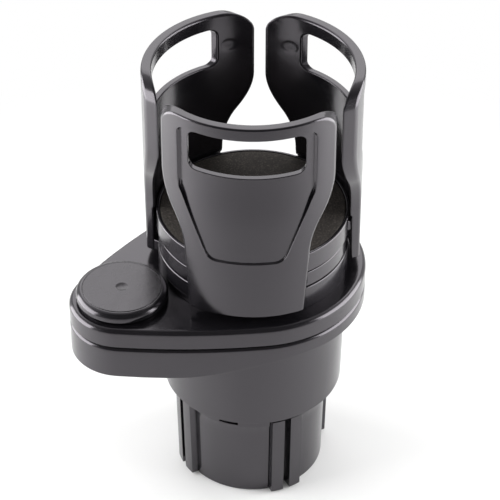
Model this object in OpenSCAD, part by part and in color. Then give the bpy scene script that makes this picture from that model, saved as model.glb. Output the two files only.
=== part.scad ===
// Two-level cup holder for a car. The barrel stands in the car's own cup well and grips it with four
// fins, the lower cup and its tray sit on the barrel, and an upper tray swings about the knob at
// its narrow end. The upper tray carries a drum with a foam pad and three sprung arms that hold a cup.
// Millimetres. Origin on the barrel's axis at its foot, +Z up, the knob on the -X side.

/* [Barrel] */
// Radius of the barrel at its foot
barrel_r = 33.5; // [31:0.5:36]
// How much the barrel's radius grows towards its top
barrel_draft = 1.1; // [0:0.1:1.6]
// Height of the barrel, up to the underside of the cup above it
barrel_h = 49.6; // [46:0.2:60]
// Wall of the barrel at its foot
barrel_wall = 2.2; // [1.6:0.1:2.6]
// Height of the barrel's collar under the cup
collar_h = 8.3; // [7.6:0.1:9]
// How far this collar stands out
collar_t = 0.5; // [0.2:0.1:0.8]
// Thickness of the plate that closes the barrel from below
plate_t = 2.6; // [2:0.1:3.6]
// Thickness of the deck inside the barrel
deck_t = 2.4; // [1.6:0.1:3.2]
// Radius of the posts that take the base plate's screws
post_r = 3.2; // [2.8:0.1:4]
// Distance of these posts' axes from the barrel's inner wall
post_in = 7.3; // [6.5:0.1:10]
// Length of the base plate's screws
base_screw_l = 12; // [8:0.5:20]

/* [Fins] */
// Width of one fin across both of its ribs
fin_w = 15; // [11:0.2:17]
// How far a drawn-in fin stands out of the barrel
fin_proud = 3.2; // [2:0.2:5]
// How far a fin's block reaches in behind the barrel's wall
fin_in = 4.1; // [3:0.1:4.6]
// How far a fin slides out
fin_travel = 7; // [4:0.5:7.5]
// Width of the groove between a fin's two ribs
groove_w = 3.2; // [1.2:0.1:4]
// Depth of that groove
groove_d = 5; // [3:0.2:5.6]
// Width of the web and of the tongue that guide a fin
web_w = 6; // [5:0.2:7]
// Height of the web that carries a fin's pin
web_h = 4.2; // [3:0.2:5]
// Height of the tongue that guides a fin's foot
tongue_h = 4; // [3:0.2:6]
// Thickness of the rails beside the webs and tongues
rail_t = 1.6; // [1.2:0.1:2.2]
// Radius of a fin's pin
pin_r = 2; // [1.6:0.1:2.3]

/* [Dial] */
// Thickness of the cam disc
cam_t = 3.2; // [2.4:0.2:4]
// How far the dial turns to drive the fins right out, in degrees
dial_turn = 80; // [65:1:80]
// Radius of the dial in the floor of the lower cup
dial_r = 23; // [20:0.5:26]
// Width of the dial's finger bar
bar_w = 7; // [5:0.5:9]
// Width of the dial's rim
dial_rim = 3; // [2:0.2:5]
// Depth of the dish on both sides of the finger bar
dish_d = 3.6; // [2:0.2:4]
// Radius of the dial's shaft
shaft_r = 7; // [6:0.25:7.5]
// Side of the square that drives the cam disc
square_w = 8.4; // [7:0.2:8.4]
// Depth of the cam disc's washer under its face
dial_washer_t = 0.8; // [0.5:0.1:1]
// Length of the dial's screw
dial_screw_l = 9; // [7:0.5:12]

/* [Lower cup] */
// Outer radius of the lower cup at its sharp lower edge
cup_r = 41.8; // [40.5:0.2:42.5]
// How much the cup's outside widens up to the tray
cup_flare = 1.4; // [0:0.2:2.4]
// Inner radius of the lower cup
well_r = 39.2; // [37:0.2:39.4]
// How much narrower the cup is at its floor, where the foam ring lies
well_step = 0.6; // [0.4:0.1:1.5]
// Depth of the lower cup from the tray's top to its floor
well_depth = 52; // [44:0.5:60]
// Thickness of the lower cup's floor
floor_t = 2.6; // [2:0.1:3.2]
// Length of the dial's bearing boss under the floor
hub_h = 3.6; // [3:0.2:5]
// Wall of this boss
hub_wall = 3.4; // [2.4:0.2:4]
// Thickness of the foam ring on the floor
ring_t = 6; // [5:0.5:8]
// Width of a snap clip under the cup
clip_w = 8.6; // [6:0.2:10]
// Length of a snap clip
clip_h = 9; // [7:0.2:10]

/* [Trays] */
// Radius of the trays' wide end, round the cup
big_r = 52; // [50:0.5:56]
// Radius of the trays' narrow end, round the knob
small_r = 24; // [23:0.5:28]
// Distance from the cup's axis to the knob's axis
reach = 65.5; // [65:0.5:74]
// Radius of the long arcs that join both ends
side_r = 300; // [220:5:500]
// Wall of both trays
tray_wall = 2.4; // [1.8:0.1:3]
// Thickness of both trays' top plates
top_t = 2.5; // [2:0.1:3.2]
// Rounding of the lower tray's top edge
low_round = 2; // [1:0.1:2.4]
// Height of the lower tray's skirt at the knob
skirt_knob = 16.2; // [15:0.2:20]
// Height of the lower tray's skirt round the cup
skirt_cup = 7.2; // [5:0.2:12]
// Distance from the cup's axis towards the knob at which the skirt starts to rise
rise_from = 55; // [40:1:60]
// Distance past the cup's axis at which the skirt has risen
rise_to = 5; // [0:1:20]
// Thickness of the washer that keeps the trays apart
slip_t = 0.8; // [0.5:0.1:1.5]
// Thickness of the ribs under the upper tray
rib_t = 1.6; // [1.2:0.1:2.2]
// Height of the upper tray
up_h = 9.5; // [8:0.1:14]
// Rounding of the upper tray's top edge
up_round = 2.5; // [1.5:0.1:3]

/* [Pivot] */
// Radius of the knob's stem
stem_r = 6; // [5:0.25:7]
// Radius of the lower tray's pivot boss
low_boss_r = 10.5; // [9.5:0.5:12]
// Length of that boss
low_boss_h = 7.7; // [6:0.1:8.5]
// Radius of the knob's lip
knob_r = 20.8; // [20:0.1:21.6]
// Radius of the knob's flat top
knob_top_r = 18.4; // [16:0.1:19]
// Height of the knob
knob_h = 5.6; // [5:0.1:8]
// Height of the narrower neck under the knob's lip
neck_h = 2; // [1:0.1:2.4]
// Height of the knob's lip
lip_h = 1.2; // [0.8:0.1:1.6]
// Depth of the seat for the knob's cover disc
seat_d = 1.6; // [1.2:0.1:1.8]
// Depth of the dimple in the cover disc
dimple_d = 0.5; // [0.2:0.1:0.8]
// Thickness of the washer under the stem
end_washer_t = 1.2; // [1:0.1:1.6]
// Length of the pivot's screw
pivot_screw_l = 11; // [8:0.5:14]
// Radius of the pivot spring's wire
pivot_wire_r = 0.55; // [0.4:0.05:0.6]

/* [Drum] */
// Radius of the plinth that the drum stands on
plinth_r = 44; // [43.6:0.1:48]
// Height of the plinth
plinth_h = 3.5; // [2.5:0.1:5]
// Radius of the drum's base above the plinth
band_r = 43.4; // [42.6:0.1:43.6]
// How much narrower the drum's middle layer is
mid_step = 0.4; // [0:0.1:0.8]
// Height of each of the drum's three layers, which hold one arm's foot each
layer_h = 8; // [7.8:0.1:10]
// Thickness of a layer's floor
layer_floor = 2.2; // [1.6:0.1:2.2]
// Wall of the layers and of the guides beside the feet
layer_wall = 2.2; // [1.6:0.1:2.6]
// Radius of the drum's cap
cap_r = 43.7; // [43.4:0.1:44.5]
// Thickness of the lid under the pad
lid_t = 1.4; // [1.2:0.1:2.4]
// Rounding of the cap's upper edge
cap_round = 0.6; // [0.4:0.1:0.8]
// Width of the cap's rim round the pad
rim_w = 1.4; // [1:0.1:2]
// Thickness of the foam pad on the drum
pad_t = 1.7; // [1.2:0.1:3]
// Distance of the drum's screws from its axis
screw_x = 37; // [36.6:0.1:37.4]
// Length of the screws that hold the drum's base on the tray
drum_screw_l = 8; // [6:0.5:8]
// Length of the screws that hold the lid and the cap on the drum's base
cap_screw_l = 19; // [16:0.5:19]

/* [Arms] */
// Thickness of an arm
arm_t = 4.7; // [3.6:0.1:6]
// Height of an arm
arm_h = 100.9; // [80:0.1:120]
// How much thinner an arm is behind the drum
arm_relief = 0.6; // [0.4:0.1:1.2]
// Half width of an arm's lower end
arm_low = 25.5; // [22:0.1:26]
// Half width of an arm's neck, where it starts to widen
arm_neck = 27.4; // [26:0.1:30]
// Half width of an arm's upper part
arm_top = 37.5; // [34:0.1:38]
// Height of the neck above the arm's lower end
neck_z = 29.4; // [24:0.2:34]
// Height above the lower end at which the arm has its full width
wide_z = 69.4; // [60:0.2:74]
// Radius of an arm's upper corners
arm_corner = 9; // [5:0.5:14]
// Radius of an arm's lower corners
arm_low_corner = 1; // [0.5:0.5:8]
// Depth of the sunk panel in an arm's outer face
panel_d = 1.7; // [1:0.1:2.2]
// Half width of the panel's lower end, between its round corners' outer sides
panel_low = 18; // [15:0.1:20]
// Half width of the panel's upper part
panel_top = 29.1; // [27:0.1:31]
// Height above the arm's lower end at which the panel has its full width
panel_wide_z = 64.4; // [58:0.2:68]
// Radius of the panel's lower corners
panel_low_corner = 5; // [3:0.5:8]
// Radius of the panel's upper corners and of the kink in its sides
panel_corner = 3; // [2:0.5:5]
// Height of the panel's lower edge above the arm's lower end
panel_z = 30; // [20:0.5:36]
// Distance of the panel's upper edge from the arm's top
panel_bar = 5.5; // [4:0.1:8]
// Half width of the window
window_w = 25.1; // [20:0.1:26]
// Height of the window
window_h = 19.2; // [14:0.2:24]
// Radius of the window's corners
window_corner = 3.5; // [2:0.5:6]
// Distance of the window's upper edge from the arm's top
window_bar = 7.1; // [6.5:0.1:10]
// How far an arm slides out
arm_travel = 10; // [6:0.5:10]
// Half width of the foot that guides an arm in the drum
foot_w = 26.2; // [24:0.1:27]
// Height of this foot
foot_h = 5.2; // [4:0.1:5.4]
// Distance of the foot's inner end from the drum's axis
foot_x = 17; // [16:0.5:18]
// Thickness of the foot's inner bar, which pushes the spring
foot_bar = 3; // [2:0.2:3.4]
// Width of the foot's spring channel
channel_w = 7; // [6.4:0.2:9]
// Length of an arm's spring when the arm is right out
spring_short = 7.2; // [6:0.1:7.6]
// Thickness of the spring's stop
stop_t = 2.2; // [1.6:0.1:2.4]
// Mean radius of an arm's spring
spring_r = 2.2; // [1.8:0.1:2.2]
// Radius of its wire
spring_wire_r = 0.4; // [0.3:0.05:0.5]
// Number of its turns
spring_turns = 7; // [6:1:9]

/* [Hidden] */
$fn = 96;

// Clearances: loose fits, guides and turning shafts; the reach of a cut past a face; and the room
// beyond a screw's tip
loose = 0.3;
guide = 0.2;
run = 0.08;
past = 1;
tip = 1;

// Screws: shank, head and head height, with a pilot hole just wider than the shank
shank_r = 1.5;
head_r = 3;
head_h = 1.2;
pilot_r = shank_r + 0.05;
boss_wall = 1.7;

// Angles of the four fins, of the four clips and posts between them, and of the three arms with the
// drum's layer that holds each arm's foot, and of the drum's screws between the arms
fin_angles = [0, 90, 180, 270];
post_angles = [45, 135, 225, 315];
arm_angles = [0, 120, 240];
arm_layers = [2, 0, 1];
rest_angles = [60, 180, 300];

// Levels of the base, from its foot up
barrel_in_r = barrel_r - barrel_wall;
fin_back = barrel_in_r - fin_in;
cam_z1 = barrel_h - hub_h - loose;
cam_z0 = cam_z1 - cam_t;
web_z1 = cam_z0 - 2*loose;
web_z0 = web_z1 - web_h;
deck_z1 = web_z0 - guide;
deck_z0 = deck_z1 - deck_t;
fin_z0 = 0.5;
fin_z1 = cam_z1 - 2*loose;
cam_r = fin_back - 2*loose;
post_x = barrel_in_r - post_in;

// The pins of the drawn-in fins stand half way out on the cam disc
pin_x = cam_r/2 - loose;
web_x = pin_x - pin_r - 1;
rail_x = web_x - 2;
rail_mid = web_w/2 + guide + rail_t/2;
tongue_z0 = plate_t + guide;
clip_z0 = barrel_h - clip_h;
clip_t = 1.6;
hook_z = clip_z0 + 1.8;
hook_h = 2;
hook_out = 1.6;
clip_r = barrel_in_r - guide;

// Levels of the cup and the trays
floor_z = barrel_h + floor_t;
low_z1 = floor_z + well_depth;
up_z0 = low_z1 + slip_t;
up_z1 = up_z0 + up_h;

// Levels of the drum and the arms
band_z0 = up_z1 + plinth_h;
lid_z0 = band_z0 + 3*layer_h;
pad_z0 = lid_z0 + lid_t;
cap_z1 = pad_z0 + pad_t;
seat_z0 = lid_z0 - boss_wall;
lid_boss_r = head_r + boss_wall - guide;
cap_face_z = pad_z0 - head_h - guide;
cap_tip_z = cap_face_z - cap_screw_l - tip;
arm_in = cap_r + loose + 0.1;
arm_out = arm_in + arm_t;
arm_z0 = band_z0 + 2*loose;
arm_z1 = arm_z0 + arm_h;
slot_w = foot_w + loose;
stop_x = foot_x + foot_bar + arm_travel + spring_short;
function layer_z(layer) = band_z0 + layer*layer_h;
function foot_z(layer) = layer_z(layer) + layer_floor + loose;

// Levels of the knob and its stem
knob_z0 = up_z1 + loose;
knob_z1 = knob_z0 + knob_h;
seat_r = knob_top_r - 0.5;
dimple_r = 3.4;
pivot_turns = 3;
low_boss_z0 = low_z1 - low_boss_h;
stem_z0 = low_z1 - skirt_knob + 1 + head_h + end_washer_t;

// Centres of the trays' long side arcs, and the directions in which they meet the two ends
big_span = side_r - big_r;
small_span = side_r - small_r;
side_x = (small_span*small_span - big_span*big_span - reach*reach)/(2*reach);
side_y = sqrt(big_span*big_span - side_x*side_x);
big_turn = atan2(side_y, -side_x);
small_turn = atan2(side_y, -reach - side_x);

// Points along an arc
function arc(x, y, r, from, to, steps = 8) =
    [for (i = [0:steps]) let (a = from + (to - from)*i/steps) [x + r*cos(a), y + r*sin(a)]];

// Points of an S curve that starts and ends straight up, from [x0, y0] to [x1, y1]
function s_curve(x0, y0, x1, y1) =
    let (r = ((y1 - y0)*(y1 - y0) + (x1 - x0)*(x1 - x0))/(4*(x1 - x0)), a = asin((y1 - y0)/(2*r)))
    concat(arc(x0 + r, y0, r, 180, 180 - a), arc(x1 - r, y1, r, -a, 0));

// Points of a side that leans outwards between two corner arcs, each given by its centre and radius
function slanted_side(x0, y0, r0, x1, y1, r1) =
    let (lean = atan2(x1 - x0, y1 - y0) - asin((r0 - r1)/norm([x1 - x0, y1 - y0])))
    concat(arc(x0, y0, r0, -90, -lean), arc(x1, y1, r1, -lean, 0));

// An outline's right half and its mirror image as one closed outline
function both_sides(half) =
    concat(half, [for (i = [len(half) - 1:-1:0]) [-half[i][0], half[i][1]]]);

module at_angles(angles) {
    for (a = angles) rotate([0, 0, a]) children();
}

// A ring or tube between two radii and two levels
module tube(r_out, r_in, z0, z1) {
    translate([0, 0, z0]) difference() {
        cylinder(r = r_out, h = z1 - z0);
        translate([0, 0, -past]) cylinder(r = r_in, h = z1 - z0 + 2*past);
    }
}

// A bar along +X between two distances, centred on the X axis
module bar(x0, x1, w, z0, z1) {
    translate([x0, -w/2, z0]) cube([x1 - x0, w, z1 - z0]);
}

// The wedge of the trays between both ends, out past their sides
module tray_middle(grow) {
    big_tip = [(big_r + grow)*cos(big_turn), (big_r + grow)*sin(big_turn)];
    small_tip = [(small_r + grow)*cos(small_turn) - reach, (small_r + grow)*sin(small_turn)];
    polygon([[0, 0], big_tip, small_tip, [-reach, 0], [small_tip[0], -small_tip[1]],
        [big_tip[0], -big_tip[1]]]);
}

// The trays' egg outline, inset by a distance
module tray_outline(inset = 0) {
    circle(r = big_r - inset);
    translate([-reach, 0]) circle(r = small_r - inset);
    intersection() {
        translate([side_x, -side_y]) circle(r = side_r - inset, $fn = 360);
        translate([side_x, side_y]) circle(r = side_r - inset, $fn = 360);
        tray_middle(8);
    }
}

// A disc whose upper edge is rounded
module round_disc(r, z0, z1, edge) {
    rotate_extrude() {
        translate([0, z0]) square([r - edge, z1 - z0]);
        translate([0, z0]) square([r, z1 - z0 - edge]);
        translate([r - edge, z1 - edge]) circle(r = edge);
    }
}

// A block of the trays' egg outline whose upper edge is rounded
module tray_block(z0, z1, edge) {
    round_disc(big_r, z0, z1, edge);
    translate([-reach, 0, 0]) round_disc(small_r, z0, z1, edge);
    intersection() {
        translate([side_x, -side_y, 0]) round_disc(side_r, z0, z1, edge, $fn = 360);
        translate([side_x, side_y, 0]) round_disc(side_r, z0, z1, edge, $fn = 360);
        translate([0, 0, z0 - past]) linear_extrude(z1 - z0 + 2*past) tray_middle(8);
    }
}

// A screw that points up from its head's face
module screw(length) {
    translate([0, 0, -head_h]) cylinder(r = head_r, h = head_h);
    cylinder(r = shank_r, h = length);
}

// A coil spring along +X with closed ends
module coil(length, mean_r, wire_r, turns) {
    per_turn = 12;
    sides = 6;
    rings = turns*per_turn;
    closed = 2.1*wire_r;
    pitch = (length - 2*wire_r - 2*closed)/(turns - 2);
    function along(t) = t < 1 ? closed*t : t > turns - 1
        ? length - 2*wire_r - closed*(turns - t) : closed + pitch*(t - 1);
    points = [for (i = [0:rings]) let (a = 360*i/per_turn, x = wire_r + along(i/per_turn))
        for (j = [0:sides - 1]) let (b = 360*j/sides, r = mean_r + wire_r*cos(b))
            [x + wire_r*sin(b), r*cos(a), r*sin(a)]];
    walls = [for (i = [0:rings - 1], j = [0:sides - 1]) let (k = (j + 1) % sides)
        [i*sides + j, i*sides + k, (i + 1)*sides + k, (i + 1)*sides + j]];
    start = [[for (j = [sides - 1:-1:0]) j]];
    finish = [[for (j = [0:sides - 1]) rings*sides + j]];
    polyhedron(points, concat(walls, start, finish));
}

module base_barrel() {
    color("#343336") difference() {
        union() {
            difference() {
                union() {
                    cylinder(r1 = barrel_r, r2 = barrel_r + barrel_draft, h = barrel_h);
                    translate([0, 0, barrel_h - collar_h])
                        cylinder(r = barrel_r + barrel_draft + collar_t, h = collar_h);
                    translate([0, 0, barrel_h - collar_h - collar_t])
                        cylinder(r1 = barrel_r, r2 = barrel_r + barrel_draft + collar_t, h = collar_t);
                }
                translate([0, 0, -past]) cylinder(r = barrel_in_r, h = barrel_h + 2*past);
            }
            translate([0, 0, deck_z0]) cylinder(r = barrel_in_r + barrel_wall/2, h = deck_t);
            at_angles(post_angles) translate([post_x, 0, plate_t])
                cylinder(r = post_r, h = deck_z0 - plate_t + deck_t/2);
            at_angles(fin_angles) for (side = [-1, 1]) translate([0, side*rail_mid, 0])
                bar(rail_x, cam_r, rail_t, deck_z0 + deck_t/2, web_z1);
        }
        at_angles(fin_angles) bar(fin_back - loose, 2*barrel_r, fin_w + 2*loose, -past,
            fin_z1 + 2*loose);
        at_angles(post_angles) bar(barrel_in_r - past, 2*barrel_r, clip_w + 2*loose,
            hook_z - loose, hook_z + hook_h + loose);
        at_angles(post_angles) translate([post_x, 0, 0])
            cylinder(r = pilot_r, h = head_h + loose + base_screw_l + tip);
        translate([0, 0, deck_z0 - past]) cylinder(r = rail_x - loose, h = deck_t + 2*past);
    }
}

module base_plate() {
    color("#343336") difference() {
        union() {
            cylinder(r = barrel_in_r - guide, h = plate_t);
            at_angles(fin_angles) for (side = [-1, 1]) translate([0, side*rail_mid, 0])
                bar(rail_x, fin_back - loose, rail_t, plate_t/2, tongue_z0 + tongue_h);
        }
        at_angles(fin_angles) bar(fin_back - loose, 2*barrel_r, fin_w + 2*loose, -past,
            plate_t + past);
        at_angles(post_angles) translate([post_x, 0, -past]) {
            cylinder(r = pilot_r, h = plate_t + 2*past);
            cylinder(r = head_r + loose, h = past + head_h + loose);
        }
    }
}

module base_screws() {
    color("silver") at_angles(post_angles)
        translate([post_x, 0, head_h + loose]) screw(base_screw_l);
}

// One fin: a grooved block in the barrel's window, a tongue below and a web with its pin above
module fin(number) {
    color("#2f2e31") rotate([0, 0, fin_angles[number - 1]]) {
        difference() {
            intersection() {
                cylinder(r1 = barrel_r + fin_proud, r2 = barrel_r + fin_proud + barrel_draft,
                    h = barrel_h);
                bar(fin_back, 2*barrel_r, fin_w, fin_z0, fin_z1);
            }
            bar(barrel_r + fin_proud - groove_d, 2*barrel_r, groove_w, -past, barrel_h);
        }
        bar(web_x, fin_back + past, web_w, tongue_z0, tongue_z0 + tongue_h);
        bar(web_x, fin_back + past, web_w, web_z0, web_z1);
        translate([pin_x, 0, web_z1 - past]) cylinder(r = pin_r, h = cam_z1 - web_z1 + past - guide);
    }
}

module fin_1() { fin(1); }
module fin_2() { fin(2); }
module fin_3() { fin(3); }
module fin_4() { fin(4); }

// The disc whose four spiral slots drive the fins' pins in and out as it turns
module cam_disc() {
    steps = 20;
    half = pin_r + guide;
    rise = fin_travel*180/(PI*dial_turn);
    function centre(a) = pin_x + fin_travel*a/dial_turn;
    function edge(a, side) = let (r = centre(a), wide = half*sqrt(1 + pow(rise/r, 2)))
        (r + side*wide)*[cos(a), -sin(a)];
    color("#4a4a4d") translate([0, 0, cam_z0]) linear_extrude(cam_t) difference() {
        circle(r = cam_r);
        square(square_w + 2*guide, center = true);
        at_angles(fin_angles) {
            translate([pin_x, 0]) circle(r = half);
            rotate(-dial_turn) translate([pin_x + fin_travel, 0]) circle(r = half);
            polygon(concat([for (i = [0:steps]) edge(dial_turn*i/steps, 1)],
                [for (i = [steps:-1:0]) edge(dial_turn*i/steps, -1)]));
        }
    }
}

module dial() {
    top = floor_z + ring_t;
    color("#343336") difference() {
        union() {
            translate([0, 0, floor_z + loose]) cylinder(r = dial_r, h = ring_t - loose);
            translate([0, 0, cam_z1]) cylinder(r = shaft_r, h = floor_z - cam_z1 + past);
            translate([0, 0, (cam_z0 + cam_z1)/2]) cube([square_w, square_w, cam_t], center = true);
        }
        difference() {
            translate([0, 0, top - dish_d]) cylinder(r = dial_r - dial_rim, h = ring_t);
            bar(-dial_r, dial_r, bar_w, 0, 2*top);
        }
        translate([0, 0, cam_z0 - past]) cylinder(r = pilot_r, h = past + dial_screw_l + tip);
    }
}

module dial_screw() {
    color("silver") translate([0, 0, cam_z0]) {
        screw(dial_screw_l);
        tube(square_w/2 + 2*dial_washer_t, shank_r + guide, -dial_washer_t, 0);
    }
}

// The lower cup and its tray, moulded as one piece
module lower_cup() {
    curve_steps = 16;
    function rise(t) = skirt_knob - (skirt_knob - skirt_cup)*(1 - cos(180*t))/2;
    under = [for (i = [0:curve_steps]) let (t = i/curve_steps)
        [-rise_from + (rise_from + rise_to)*t, low_z1 - rise(t)]];
    far = reach + 2*big_r;
    color("#343336") difference() {
        union() {
            difference() {
                tray_block(low_z1 - skirt_knob, low_z1, low_round);
                translate([0, 0, low_z1 - skirt_knob - past])
                    linear_extrude(skirt_knob - top_t + past) tray_outline(tray_wall);
                translate([0, far, 0]) rotate([90, 0, 0]) linear_extrude(2*far)
                    polygon(concat([[-rise_from, 0]], under, [[far, low_z1 - skirt_cup], [far, 0]]));
            }
            translate([0, 0, barrel_h]) cylinder(r1 = cup_r, r2 = cup_r + cup_flare,
                h = low_z1 - top_t/2 - barrel_h);
            translate([0, 0, cam_z1 + loose]) cylinder(r = shaft_r + hub_wall, h = hub_h + past);
            translate([-reach, 0, low_boss_z0]) cylinder(r = low_boss_r, h = low_boss_h - past);
            at_angles(post_angles) intersection() {
                bar(0, barrel_in_r + barrel_wall, clip_w, clip_z0, barrel_h + past);
                union() {
                    tube(clip_r, clip_r - clip_t, clip_z0, barrel_h + past);
                    tube(clip_r + hook_out, clip_r - clip_t, hook_z, hook_z + hook_h);
                }
            }
        }
        translate([0, 0, floor_z]) cylinder(r = well_r - well_step, h = well_depth);
        translate([0, 0, floor_z + ring_t]) cylinder(r = well_r, h = well_depth);
        translate([0, 0, cam_z1]) cylinder(r = shaft_r + run, h = floor_z);
        translate([-reach, 0, 0]) cylinder(r = stem_r + run, h = low_z1 + past);
    }
}

module lower_pad() {
    color("#3b3836") tube(well_r - well_step - loose, dial_r + past, floor_z, floor_z + ring_t);
}

module slip_washer() {
    color("#dcdcd8") translate([-reach, 0, 0])
        tube(low_boss_r + 3, stem_r + loose, low_z1, up_z0);
}

module upper_tray() {
    rib_z0 = up_z0 + 2;
    color("#343336") difference() {
        union() {
            difference() {
                tray_block(up_z0, up_z1, up_round);
                translate([0, 0, up_z0 - past]) linear_extrude(up_h - top_t + past)
                    tray_outline(tray_wall);
            }
            translate([-reach, 0, up_z0]) cylinder(r = low_boss_r + 1.5, h = up_h - past);
            at_angles(rest_angles) translate([screw_x, 0, rib_z0])
                cylinder(r = head_r + boss_wall, h = up_h - top_t);
            tube(screw_x + rib_t/2, screw_x - rib_t/2, rib_z0, up_z1 - past);
            bar(-reach + low_boss_r, -screw_x, rib_t, rib_z0, up_z1 - past);
        }
        translate([-reach, 0, 0]) cylinder(r = stem_r + run, h = up_z1 + past);
        at_angles(rest_angles) translate([screw_x, 0, up_z0 - past]) {
            cylinder(r = pilot_r, h = up_h + 2*past);
            cylinder(r = head_r + loose, h = up_h - top_t + past);
        }
    }
}

// One of the drum's layers, cut from the block given to it: a tray with the slot for an arm's foot,
// the stop for its spring, posts for the screws and hollows between them
module drum_layer(r, layer, angle) {
    floor_z1 = layer_z(layer) + layer_floor;
    slot_x = foot_x - loose;
    difference() {
        children();
        translate([0, 0, floor_z1]) linear_extrude(layer_h - layer_floor) {
            rotate(angle) translate([slot_x, -slot_w]) square([2*r, 2*slot_w]);
            difference() {
                circle(r = r - layer_wall);
                rotate(angle) translate([slot_x - layer_wall, -slot_w - layer_wall])
                    square([2*r, 2*(slot_w + layer_wall)]);
                at_angles(rest_angles) translate([screw_x, 0]) circle(r = head_r + boss_wall);
            }
        }
    }
    rotate([0, 0, angle])
        bar(stop_x, stop_x + stop_t, channel_w - 2*loose, floor_z1 - past, foot_z(layer) + foot_h - guide);
}

module drum_base() {
    color("#343336") difference() {
        union() {
            translate([0, 0, up_z1]) cylinder(r = plinth_r, h = plinth_h);
            drum_layer(band_r, 0, arm_angles[1])
                translate([0, 0, layer_z(0)]) cylinder(r = band_r, h = layer_h);
        }
        translate([0, 0, up_z1 - past])
            cylinder(r = screw_x - head_r - 2*boss_wall, h = past + plinth_h);
        at_angles(rest_angles) translate([screw_x, 0, up_z1 - past])
            cylinder(r = pilot_r, h = past + drum_screw_l - top_t + tip);
        at_angles(rest_angles) translate([screw_x, 0, cap_tip_z])
            cylinder(r = pilot_r, h = layer_z(1) + past - cap_tip_z);
        translate([-reach, 0, up_z1 - past])
            cylinder(r = knob_r + 2*loose, h = knob_z1 + 2*loose - up_z1 + past);
    }
}

module drum_middle() {
    mid_r = band_r - mid_step;
    color("#343336") difference() {
        drum_layer(mid_r, 1, arm_angles[2])
            translate([0, 0, layer_z(1)]) cylinder(r = mid_r, h = layer_h);
        at_angles(rest_angles) translate([screw_x, 0, layer_z(1) - past])
            cylinder(r = pilot_r, h = layer_h + 2*past);
    }
}

// The drum's top layer, with the rim round the pad and a seat for the lid
module drum_cap() {
    color("#343336") difference() {
        drum_layer(cap_r, 2, arm_angles[0]) difference() {
            round_disc(cap_r, layer_z(2), cap_z1, cap_round);
            translate([0, 0, lid_z0]) cylinder(r = cap_r - rim_w, h = cap_z1);
        }
        at_angles(rest_angles) translate([screw_x, 0, layer_z(2) - past])
            cylinder(r = pilot_r, h = layer_h + 2*past);
        at_angles(rest_angles) translate([screw_x, 0, seat_z0])
            cylinder(r = lid_boss_r + loose, h = lid_t + boss_wall);
    }
}

// The lid that closes the top layer under the pad
module drum_lid() {
    color("#343336") difference() {
        union() {
            translate([0, 0, lid_z0]) cylinder(r = cap_r - rim_w - loose, h = lid_t);
            at_angles(rest_angles) translate([screw_x, 0, seat_z0])
                cylinder(r = lid_boss_r, h = pad_z0 - seat_z0 - lid_t/2);
        }
        at_angles(rest_angles) translate([screw_x, 0, 0]) {
            cylinder(r = pilot_r, h = cap_z1);
            translate([0, 0, cap_face_z]) cylinder(r = head_r + loose, h = cap_z1);
        }
    }
}

module drum_screws() {
    color("silver") at_angles(rest_angles) translate([screw_x, 0, up_z1 - top_t])
        screw(drum_screw_l);
}

module cap_screws() {
    color("silver") at_angles(rest_angles) translate([screw_x, 0, cap_face_z])
        mirror([0, 0, 1]) screw(cap_screw_l);
}

module upper_pad() {
    color("#3b3836") translate([0, 0, pad_z0]) cylinder(r = cap_r - rim_w - loose, h = pad_t);
}

// Outlines of an arm, of its sunk panel and of its window, seen from outside
panel_z0 = arm_z0 + panel_z;
panel_z1 = arm_z1 - panel_bar;
window_z1 = arm_z1 - window_bar;
window_z0 = window_z1 - window_h;
arm_outline = both_sides(concat(
    arc(arm_low - arm_low_corner, arm_z0 + arm_low_corner, arm_low_corner, -90, 0),
    s_curve(arm_neck, arm_z0 + neck_z, arm_top, arm_z0 + wide_z),
    arc(arm_top - arm_corner, arm_z1 - arm_corner, arm_corner, 0, 90)));
panel_outline = both_sides(concat(
    slanted_side(panel_low - panel_low_corner, panel_z0 + panel_low_corner, panel_low_corner,
        panel_top - panel_corner, arm_z0 + panel_wide_z, panel_corner),
    arc(panel_top - panel_corner, panel_z1 - panel_corner, panel_corner, 0, 90)));
window_outline = both_sides(concat(
    arc(window_w - window_corner, window_z0 + window_corner, window_corner, -90, 0),
    arc(window_w - window_corner, window_z1 - window_corner, window_corner, 0, 90)));

// Cuts an outline, drawn across and up, straight outwards along +X
module outwards(outline) {
    rotate([90, 0, 90]) linear_extrude(2*arm_out) polygon(outline);
}

// One arm: a curved blade with a raised frame, a sunk panel, a window and a foot that slides in its
// layer of the drum
module arm(number) {
    foot_z0 = foot_z(arm_layers[number - 1]);
    foot_z1 = foot_z0 + foot_h;
    color("#343336") rotate([0, 0, arm_angles[number - 1]]) difference() {
        union() {
            difference() {
                intersection() {
                    tube(arm_out, arm_in, arm_z0, arm_z1);
                    outwards(arm_outline);
                }
                difference() {
                    outwards(panel_outline);
                    translate([0, 0, arm_z0]) cylinder(r = arm_out - panel_d, h = arm_h);
                }
            }
            intersection() {
                bar(foot_x, arm_out, 2*foot_w, foot_z0, foot_z1);
                cylinder(r = arm_in + arm_t/2, h = arm_z1);
            }
        }
        outwards(window_outline);
        difference() {
            translate([0, 0, arm_z0 - past])
                cylinder(r = arm_in + arm_relief, h = cap_z1 + loose - arm_z0 + past);
            intersection() {
                bar(foot_x - past, arm_out, 2*foot_w, foot_z0, foot_z1);
                cylinder(r = arm_out, h = arm_z1);
            }
        }
        bar(foot_x + foot_bar, stop_x + stop_t + loose, channel_w, foot_z0 - past, foot_z1 + past);
    }
}

module arm_1() { arm(1); }
module arm_2() { arm(2); }
module arm_3() { arm(3); }

// The spring between a foot's inner bar and the drum's stop, which pulls the arm in
module arm_spring(number) {
    room = stop_x - foot_x - foot_bar;
    color("silver") rotate([0, 0, arm_angles[number - 1]])
        translate([foot_x + foot_bar + guide/2, 0, foot_z(arm_layers[number - 1]) + foot_h/2])
            coil(room - guide, spring_r, spring_wire_r, spring_turns);
}

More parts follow.
